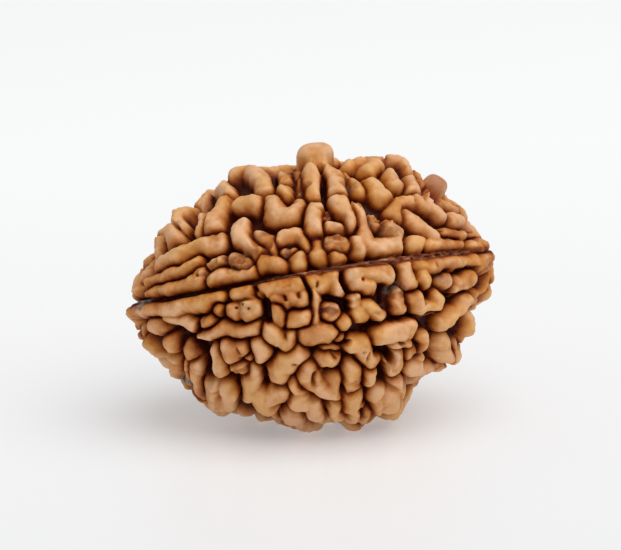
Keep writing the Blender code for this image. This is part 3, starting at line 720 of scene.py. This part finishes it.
# %% [markdown]
# ## The knobs
# On top stands a blunt knob that two lobes run up to, and at the upper right a small round
# ball. Separate spheres would cut through the skin. So both are raised out of the same
# surface and joined to it with a fillet.

# %% Knobs
RELIEF_DEPTH = 1.40
# Each is a pixel, then the rise, the radius and the fillet in millimetres.
KNOBS = [(315, 160, 1.10, 1.24, 1.60), (436, 184, 0.55, 0.88, 0.40)]
KNOB_POWER, KNOB_SHOULDER, KNOB_CREST = 3.5, 1.0, 0.9


def raise_knobs(crown, height, depth, crest):
    """The relief with the knobs, and both values that colour it.

    A knob's top is the root of one minus a power of the distance over the
    radius. The higher of knob and relief counts, and the fillet adds the square
    of what is left of it between them, over four fillets.
    """
    for x, y, rise, radius, fillet in KNOBS:
        gap = np.linalg.norm(crown - carry(x, y), axis=1)
        ball = np.sqrt(np.clip(1.0 - (gap / radius) ** KNOB_POWER, 0.0, None))
        knob = RELIEF_DEPTH + rise - KNOB_SHOULDER * (1.0 - ball)
        knob = np.where(ball > 0.0, knob, -FAR)
        left = np.clip(fillet - np.abs(knob - height), 0.0, None)
        crest = np.where(knob > height - fillet, KNOB_CREST, crest)
        depth = np.where(knob > height - fillet, 1.0, depth)
        height = np.maximum(height, knob) + left ** 2 / (4.0 * fillet)
    return height, depth, crest


print(len(KNOBS), "knobs")

# %% [markdown]
# ## The relief
# All features come together as one height above the floor of the creases, measured along
# the crown's normal. The order matters: domes, marks and unevenness first, then the cleft
# and the mouths, which cut all of them, then swells and knobs, which carry the rest. Two
# values are kept for the colour, because no shader node can tell them well: how deep a point
# lies, and how far it is from the nearest crease.

# %% Height of the relief
WARP_REACH, WARP_LENGTH, WARP_SEED = 0.13, 1.9, 40
KINK_SHARE, KINK_LENGTH, KINK_SEED = 0.2, 0.7, 50
RISE_SEED, RISE_RANGE = 5, (0.93, 1.07)
THIN_RISE, WIDE_RISE, THIN_WIDTH, WIDTH_SPAN = 0.74, 0.30, 0.22, 0.38
MARK_EXTRA_DEPTH = 0.5
# Unevenness, each as rise, length, count of waves and seed, and that of papery skin.
UNEVEN = ((0.09, 1.4, 7, 11), (0.035, 0.60, 9, 12), (0.02, 0.32, 9, 13))
PAPERY = (0.22, 0.42, 9, 14)
DEPTH_LEAST, DEPTH_MOST, CREST_REACH = -0.4, 1.2, 0.28


def lobe_rises():
    """Height of each lobe: a seeded draw, times less for a thin one than a wide one."""
    rises = np.random.default_rng(RISE_SEED).uniform(*RISE_RANGE, len(all_lobes))
    return rises * (THIN_RISE + WIDE_RISE * ease((lobe_widths - THIN_WIDTH) / WIDTH_SPAN))


def relief(direction):
    """Surface points in millimetres, with depth, crest, cleft and lobe of each."""
    crown, normal = crown_point(direction), crown_normal(direction)
    side = cleft_side(crown)
    warp = wobble(crown, WARP_LENGTH, WARP_SEED)
    warp += KINK_SHARE * wobble(crown, KINK_LENGTH, KINK_SEED)
    bent = crown + WARP_REACH * warp
    cap, first, second, owner = lobe_caps(bent)
    marks = mark_depth(bent)
    cap *= 1.0 - marks
    height = RELIEF_DEPTH * cap * lobe_rises()[owner]
    height -= MARK_EXTRA_DEPTH * ease(2.0 * marks - 1.0)
    height += cap * sum(rise * waves(crown, *rest) for rise, *rest in UNEVEN)
    height *= 1.0 - spotted(crown, "low")
    height += spotted(crown, "papery") * PAPERY[0] * waves(crown, *PAPERY[1:])
    half, inside, open_part = cleft_shape(direction, side)
    height += (cleft_floor(direction, crown, open_part) - height) * inside
    height = sink_mouths(crown, height)
    depth = np.clip(height / RELIEF_DEPTH, DEPTH_LEAST, DEPTH_MOST)
    room = np.minimum(0.5 * (second - first), DOME_MARGIN - first)
    room = np.minimum(room, np.abs(side) - half) * (1.0 - marks)
    crest = 1.0 - np.exp(-np.clip(room, 0.0, None) / CREST_REACH)
    height, depth, crest = raise_knobs(crown, height + swell(crown), depth, crest)
    local = crown + normal * (height - RELIEF_DEPTH)[:, None]
    place = local @ AXES + np.array([0.0, 0.0, AXIS_HEIGHT])
    return place, depth, crest, inside * open_part, owner


tip = relief(unit((0.0, 0.0, 1.0))[None])[0][0]
print("the surface above the middle is", round(float(tip[2]), 2), "mm above the table")

# %% [markdown]
# ## The grid
# The stone with its hole is a ring in the mathematical sense. A sphere with a boolean hole
# would have two poles and a ragged edge. So one grid makes all of it: columns run round the
# axis, and rows run along the outside from mouth to mouth and back through the hole. Both
# directions close on themselves, which leaves no seam and no pole. Columns are set closer on
# the side towards the camera, and near each end the rows shift so that they ring the mouth.

# %% Directions and faces of the grid
COLUMNS, OUTER_ROWS, BORE_ROWS = 640, 420, 12
BORE_RADII = (0.50, 0.35)
FRONT_CROWDING = 0.25
END_NARROWING, POLE_REACH = 0.9, 0.5


def grid_directions():
    """Unit directions of the outer rows, crowded towards -Y by a sine term."""
    turn = np.linspace(0.0, 2.0 * math.pi, COLUMNS, endpoint=False)
    turn = turn - FRONT_CROWDING * np.sin(turn)
    start, end = (radius / (HALF_SIZE[1] * END_NARROWING) for radius in BORE_RADII)
    slope = np.linspace(start, math.pi - end, OUTER_ROWS)
    slope, turn = np.meshgrid(slope, turn, indexing="ij")
    ring = np.sin(slope)
    grid = np.stack([-np.cos(slope), -ring * np.cos(turn), ring * np.sin(turn)], axis=-1)
    for mouth, pole, away in ((left_mouth, -1.0, slope), (right_mouth, 1.0, math.pi - slope)):
        shift = unit(crown_direction(mouth[None])[0]) - np.array([pole, 0.0, 0.0])
        grid += shift * np.exp(-(away / POLE_REACH) ** 2)[..., None]
    grid = grid.reshape(-1, 3)
    return grid / np.linalg.norm(grid, axis=1)[:, None]


def ring_faces(rows, columns):
    """Quads of a grid that closes on itself both ways, facing outwards."""
    index = np.arange(rows * columns).reshape(rows, columns)
    down, across = np.roll(index, -1, axis=0), np.roll(index, -1, axis=1)
    corner = np.roll(down, -1, axis=1)
    return np.stack([index, across, corner, down], axis=-1).reshape(-1, 4)


def blurred(field, width):
    """Average a grid over a square window, by running sums on both axes."""
    padded = np.pad(field, ((width, width), (0, 0)), mode="edge")
    padded = np.pad(padded, ((0, 0), (width, width)), mode="wrap")
    total = np.pad(padded.cumsum(axis=0).cumsum(axis=1), ((1, 0), (1, 0)))
    window = 2 * width + 1
    area = total[window:, window:] - total[:-window, window:]
    area += total[:-window, :-window] - total[window:, :-window]
    return area / window ** 2


print(OUTER_ROWS + BORE_ROWS, "rows of", COLUMNS)

# %% [markdown]
# ## The bead
# The finished skin is one mesh at the origin. It carries its values as attributes, which is
# how a shader can follow the lobes instead of a flat picture. A bake could do it too, but it
# would need a UV map. The grid is finer than the smooth crests need, so a Decimate modifier
# thins it there and keeps the creases.

# %% Bead mesh
TRIANGLES = 196000
SHADE_SEED, PLAIN_SHADE = 8, 0.5
WIDE_WINDOW, FINE_WINDOW = 6, 1
SPOT_COLOURS = ("red", "grey", "papery")


def add_mesh(name, points, faces):
    """A smooth shaded mesh object at the origin from points in millimetres."""
    mesh = bpy.data.meshes.new(name)
    mesh.from_pydata((points * MM).tolist(), [], faces.tolist())
    mesh.validate()
    mesh.shade_smooth()
    thing = bpy.data.objects.new(name, mesh)
    scene.collection.objects.link(thing)
    return thing


def make_bead():
    """Outer rows from the relief, bore rows blended between the two mouths.

    Hollow is the depth averaged over a wide window less that over a fine one.
    """
    directions = grid_directions()
    place, depth, crest, cleft, owner = relief(directions)
    place[:, 2] = np.maximum(place[:, 2], 0.0)
    outer = place.reshape(OUTER_ROWS, COLUMNS, 3)
    blend = np.linspace(0.0, 1.0, BORE_ROWS + 2)[1:-1, None, None]
    bore = outer[-1] * (1.0 - blend) + outer[0] * blend
    points = np.concatenate([outer, bore]).reshape(-1, 3)
    field = depth.reshape(OUTER_ROWS, COLUMNS)
    # Hollow, depth and crest are kept to paint shade into the creases and hollows.
    hollow = (blurred(field, WIDE_WINDOW) - blurred(field, FINE_WINDOW)).reshape(-1)
    shades = np.random.default_rng(SHADE_SEED).uniform(0.0, 1.0, len(all_lobes))
    values = {"depth": depth, "hollow": hollow, "crest": crest, "cleft": cleft}
    values.update({kind: spotted(crown_point(directions), kind) for kind in SPOT_COLOURS})
    extra = np.zeros(BORE_ROWS * COLUMNS)
    values = {name: np.concatenate([array, extra]) for name, array in values.items()}
    values["lobe"] = np.concatenate([shades[owner], extra + PLAIN_SHADE])
    bead = add_mesh("bead_skin", points, ring_faces(OUTER_ROWS + BORE_ROWS, COLUMNS))
    for name, array in values.items():
        layer = bead.data.attributes.new(name, "FLOAT", "POINT")
        layer.data.foreach_set("value", array.astype(np.float32))
    thin = bead.modifiers.new("fewer triangles where it is smooth", "DECIMATE")
    thin.ratio = TRIANGLES / (2.0 * len(bead.data.polygons))
    return bead


bead = make_bead()
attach(bead, "root")
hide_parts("bead")
print("bead skin with", len(bead.data.polygons), "quads before thinning")

# %% [markdown]
# ## Helpers for a finish
# Colours are picked from the real finish as sRGB hex codes, and Blender reckons in
# linear light, so one function turns them. Another adds a node with its settings and links
# and hands back one output, so that a finish reads from top to bottom like a recipe.

# %% Finish helpers
def linear(code):
    """An sRGB hex colour as linear red, green, blue and one for alpha.

    A dark part is divided by 12.92. A lighter one gets 0.055, is divided by
    1.055 and raised to the power 2.4.
    """
    parts = [int(code[i:i + 2], 16) / 255.0 for i in (1, 3, 5)]
    turned = [c / 12.92 if c <= 0.04045 else ((c + 0.055) / 1.055) ** 2.4 for c in parts]
    return (*turned, 1.0)


def node(tree, kind, links=(), output=0, stops=(), **settings):
    """Add a node, set its fields, sockets and colour stops, and return one output.

    A socket gets a value, or the output of another node, which is linked.
    """
    made = tree.nodes.new(kind)
    for name, value in settings.items():
        setattr(made, name, value)
    for socket, value in dict(links).items():
        if isinstance(value, bpy.types.NodeSocket):
            tree.links.new(value, made.inputs[socket])
        else:
            made.inputs[socket].default_value = value
    for _ in stops[2:]:
        made.color_ramp.elements.new(0.5)
    if stops:
        for element, (place, code) in zip(made.color_ramp.elements, stops):
            element.position, element.color = place, linear(code)
    return made.outputs[output]


def new_material(name):
    """A material with an empty tree but for its output and shader."""
    material = bpy.data.materials.new(name)
    material.use_nodes = True
    tree = material.node_tree
    return material, tree, tree.nodes["Principled BSDF"]


print("mid brown in linear light", [round(c, 3) for c in linear("#b0682f")])

# %% [markdown]
# ## The finish of the stone
# A dry rudraksha stone is wood: hard, fine grained and matte, with a dull gleam on the
# crests, where hands have oiled it. Its creases are painted dark red brown as shade. A
# picture could be painted on it, but it would need a UV map and smear where the skin folds.
# So the finish is made of patterns, whose sizes and colours come first.

# %% Sizes and colours of the stone's finish
# Patterns as size in millimetres and detail: a slow change of tone as wide as a lobe,
# mottling within a lobe, riper patches some lobes wide, flakes of pulp and grey clots of
# dirt, a few of which are painted shade.
TONE, MOTTLE, PATCH = (1.9231, 4.0), (0.52632, 5.0), (3.0303, 3.0)
FLAKE, DIRT_AND_SHADE = (0.38462, 4.0), (0.45455, 3.0)
# Fibres, pores and grit are finer on a real stone, and drawn so coarse that they show.
FIBRE, PORE, GRIT = (0.19231, 3.0), (0.3125, 6.0), (0.11111, 3.0)
# Both ramps run from painted shade in the creases to paler crests, under the stone's own
# tones.
BODY_AND_SHADE = [(0.00, "#421002"), (0.14, "#642003"), (0.32, "#874011"), (0.54, "#b0682f"),
        (0.76, "#cc8c55"), (1.00, "#e2b085")]
RIPE_AND_SHADE = [(0.00, "#3e0d00"), (0.16, "#6c2402"), (0.36, "#95470c"), (0.60, "#bd732b"),
        (0.84, "#d09250"), (1.00, "#dea76a")]
PATCH_EDGES = [(0.42, "#000000"), (0.62, "#ffffff")]
FLAKES = [(0.42, "#8a4f22"), (0.55, "#c08a58"), (0.66, "#dcb48a")]
CLOTS = [(0.40, "#3c3733"), (0.62, "#a49b91")]
FIBRES = [(0.34, "#3c0f02"), (0.50, "#7a3a1a"), (0.64, "#a86a42"), (0.76, "#cf9c74")]
RED = "#8c3a26"
print("patterns from", GRIT[0], "to", PATCH[0], "mm")

# %% [markdown]
# ## Painted shade from crease to crest
# The colour is painted dark at the bottom of the creases and paler towards the crests, as
# shade.
# The usual way to find creases, ambient occlusion, is slow. The attributes say it already:
# how far a point is from a crease, how deep it lies, and whether it is lower than what
# surrounds it. Noise then frays the edge between dark and pale.

# %% Level
# Gains of the painted shade: deep and hollow points darker, crests and high points paler.
LEVEL_START = -0.80
CREST_GAIN, DEPTH_GAIN, HOLLOW_GAIN = 0.75, 0.35, -0.8
TONE_GAIN, MOTTLE_GAIN, LOBE_GAIN = 0.8, 0.5, 0.10


def pattern(place, size, detail):
    """Settings of a noise whose features are a size in millimetres: one over metres."""
    return {"Vector": place, "Scale": 1.0 / (size * MM), "Detail": detail}


def painted_crease_shade(tree, place, value):
    """Painted shade from crease to crest: a start plus each value times its gain."""
    tone = node(tree, "ShaderNodeTexNoise", pattern(place, *TONE))
    mottle = node(tree, "ShaderNodeTexNoise", pattern(place, *MOTTLE))
    level = LEVEL_START
    for factor, gain in ((value["crest"], CREST_GAIN), (value["depth"], DEPTH_GAIN),
                         (value["hollow"], HOLLOW_GAIN), (tone, TONE_GAIN),
                         (mottle, MOTTLE_GAIN), (value["lobe"], LOBE_GAIN)):
        level = node(tree, "ShaderNodeMath", {0: factor, 1: gain, 2: level},
                     operation="MULTIPLY_ADD")
    return level


print("level from", round(LEVEL_START + HOLLOW_GAIN * 0.5, 2), "in a deep crease upward")

# %% [markdown]
# ## Colours in layers
# Seen closely, the stone has a pale brown body with riper, more orange patches, flakes of
# dried pulp, and red or grey spots. Separate materials would meet in hard lines. So one
# colour is built up in layers, and each layer covers the last one as much as its noise, its
# spots or the cleft say.

# %% Colour
MIX_FACTOR, MIX_FIRST, MIX_SECOND, MIX_COLOUR = 0, 6, 7, 2
ALONG_CLEFT = (0.12, 1.0, 1.0)
COVERS = (("papery", 0.6), ("red", 0.75), ("grey", 0.8))


def stone_colour(tree, place, value):
    """Body colours by the painted shade, then layer over layer by how much each covers."""
    level = painted_crease_shade(tree, place, value)
    along = node(tree, "ShaderNodeMapping", {"Vector": place, "Scale": ALONG_CLEFT})
    made = {}
    for name, where, size, stops in (
            ("patches", place, PATCH, PATCH_EDGES), ("flakes", place, FLAKE, FLAKES),
            ("clots", place, DIRT_AND_SHADE, CLOTS), ("fibres", along, FIBRE, FIBRES)):
        noise = node(tree, "ShaderNodeTexNoise", pattern(where, *size))
        made[name] = node(tree, "ShaderNodeValToRGB", {"Fac": noise}, stops=stops)
    for kind, share in COVERS:
        made[kind] = node(tree, "ShaderNodeMath", {0: value[kind], 1: share},
                          operation="MULTIPLY")
    colour = node(tree, "ShaderNodeValToRGB", {"Fac": level}, stops=BODY_AND_SHADE)
    ripe = node(tree, "ShaderNodeValToRGB", {"Fac": level}, stops=RIPE_AND_SHADE)
    for cover, layer in ((made["patches"], ripe), (made["papery"], made["flakes"]),
                         (made["red"], linear(RED)), (made["grey"], made["clots"]),
                         (value["cleft"], made["fibres"])):
        sockets = {MIX_FACTOR: cover, MIX_FIRST: colour, MIX_SECOND: layer}
        colour = node(tree, "ShaderNodeMix", sockets, output=MIX_COLOUR, data_type="RGBA")
    return colour


print("red spots are", RED, "at", COVERS[1][1], "of their strength")

# %% [markdown]
# ## The grain and the material
# Under the finger the stone feels like planed wood, with pores that only show as a dull
# sheen. Modelled, they would need millions of faces. So they are bump, a few hundredths of a
# millimetre high, while everything that can be seen as a shape is in the mesh. The gloss
# starts from that of wood with an IOR of 1.5, and is cut down because the pores break it up.

# %% Seed stone material
PORE_GAIN, PAPERY_GAIN, BUMP_STRENGTH, BUMP_METRES = 0.5, 1.6, 0.5, 0.00004
ROUGHNESS, IOR, SPECULAR = 0.5, 1.5, 0.18


def stone_grain(tree, place, papery):
    """Bump from grit plus a share of pores, rougher where the skin is papery."""
    pores = node(tree, "ShaderNodeTexNoise", pattern(place, *PORE))
    grit = node(tree, "ShaderNodeTexNoise", pattern(place, *GRIT))
    grain = node(tree, "ShaderNodeMath", {0: pores, 1: PORE_GAIN, 2: grit},
                 operation="MULTIPLY_ADD")
    gain = node(tree, "ShaderNodeMath", {0: papery, 1: PAPERY_GAIN, 2: 1.0},
                operation="MULTIPLY_ADD")
    height = node(tree, "ShaderNodeMath", {0: grain, 1: gain}, operation="MULTIPLY")
    return node(tree, "ShaderNodeBump", {"Strength": BUMP_STRENGTH, "Distance": BUMP_METRES,
                                         "Height": height})


def seed_stone():
    """The seed stone's colour and grain over a gloss that is the same all over."""
    material, tree, shader = new_material("dry woody seed stone, hand oiled")
    place = node(tree, "ShaderNodeTexCoord", output="Object")
    names = ("depth", "crest", "hollow", "cleft", "lobe", *SPOT_COLOURS)
    value = {name: node(tree, "ShaderNodeAttribute", output="Fac", attribute_name=name)
             for name in names}
    tree.links.new(stone_colour(tree, place, value), shader.inputs["Base Color"])
    tree.links.new(stone_grain(tree, place, value["papery"]), shader.inputs["Normal"])
    shader.inputs["Roughness"].default_value = ROUGHNESS
    shader.inputs["IOR"].default_value = IOR
    shader.inputs["Specular IOR Level"].default_value = SPECULAR
    return material


bead.data.materials.append(seed_stone())
print("the bead wears", bead.data.materials[0].name)

# %% [markdown]
# ## The table
# The bead lies on a sheet of matte white acrylic, as picture tables have. It is cast and
# sanded, so it shows no mirror image, only an even white. Such a table is lit from below as
# well, which keeps it near white and the shadow faint. A lamp below a see-through sheet
# would do that, but it needs many samples. So the sheet glows a little by itself, and a
# ramp over its depth paints it slightly darker towards the viewer, as shade.

# %% Table
TABLE_EDGE = 1500.0
# Where the ramp starts and ends, in metres.
TABLE_FROM, TABLE_TO = -0.035, 0.080
# The ramp is painted shade: the table darker towards the viewer.
TABLE_FALLOFF_SHADES = [(0.0, "#c9c9c9"), (1.0, "#dcdcdc")]
TABLE_ROUGHNESS, TABLE_GLOW, GLOW_COLOUR = 0.4, 0.31, "#fbfdff"


def white_sheet():
    """Base colour from a ramp over Y that paints shade nearer the viewer, and an even glow."""
    material, tree, shader = new_material("matte white acrylic sheet")
    place = node(tree, "ShaderNodeTexCoord", output="Object")
    depth = node(tree, "ShaderNodeSeparateXYZ", {0: place}, output="Y")
    share = node(tree, "ShaderNodeMapRange", {"Value": depth, "From Min": TABLE_FROM,
                                              "From Max": TABLE_TO})
    shade = node(tree, "ShaderNodeValToRGB", {"Fac": share}, stops=TABLE_FALLOFF_SHADES)
    tree.links.new(shade, shader.inputs["Base Color"])
    shader.inputs["Roughness"].default_value = TABLE_ROUGHNESS
    shader.inputs["Emission Color"].default_value = linear(GLOW_COLOUR)
    shader.inputs["Emission Strength"].default_value = TABLE_GLOW
    return material


def add_table():
    """A wide square at the ground."""
    near, wide = -TABLE_EDGE, TABLE_EDGE
    points = np.array([(near, near, 0.0), (wide, near, 0.0), (wide, wide, 0.0),
                       (near, wide, 0.0)])
    table = add_mesh("table", points, np.array([[0, 1, 2, 3]]))
    table.data.materials.append(white_sheet())
    return table


print("table of", [round(size, 2) for size in add_table().dimensions], "m")

# %% [markdown]
# ## The light
# The photograph has short, very soft shadows, as in a light tent. One sun would draw them
# hard. So a large soft box stands above and a little to the right, a faint one in front on
# the left opens the shadows of the creases, and a white world stands for the tent's walls.

# %% Lights
LIGHT_TARGET = (0.0, 0.0, 0.01)
TENT_STRENGTH = 0.40
# Each is a name, a power in watts, then its edge and its place in metres.
SOFT_BOXES = [("soft box above", 6.3, 1.0, (0.20, -0.26, 0.73)),
              ("soft box in front", 0.4, 0.8, (-0.25, -0.60, 0.60))]


def add_light(name, power, size, place):
    """A square area light that looks at the target."""
    data = bpy.data.lights.new(name, "AREA")
    data.energy, data.size = power, size
    lamp = bpy.data.objects.new(name, data)
    scene.collection.objects.link(lamp)
    aim = unit(np.array(place) - np.array(LIGHT_TARGET))
    side = unit(np.cross((0.0, 1.0, 0.0), aim))
    turned = np.eye(4)
    turned[:3, 0], turned[:3, 1], turned[:3, 2] = side, np.cross(aim, side), aim
    turned[:3, 3] = place
    lamp.matrix_world = Matrix(turned.tolist())
    return lamp


for soft_box in SOFT_BOXES:
    add_light(*soft_box)
world = bpy.data.worlds.new("light tent")
scene.world = world
world.use_nodes = True
tent = world.node_tree.nodes["Background"]
tent.inputs["Color"].default_value = linear("#ffffff")
tent.inputs["Strength"].default_value = TENT_STRENGTH
scene.view_settings.view_transform = "Standard"
print(len(SOFT_BOXES), "soft boxes and a tent of strength", TENT_STRENGTH)
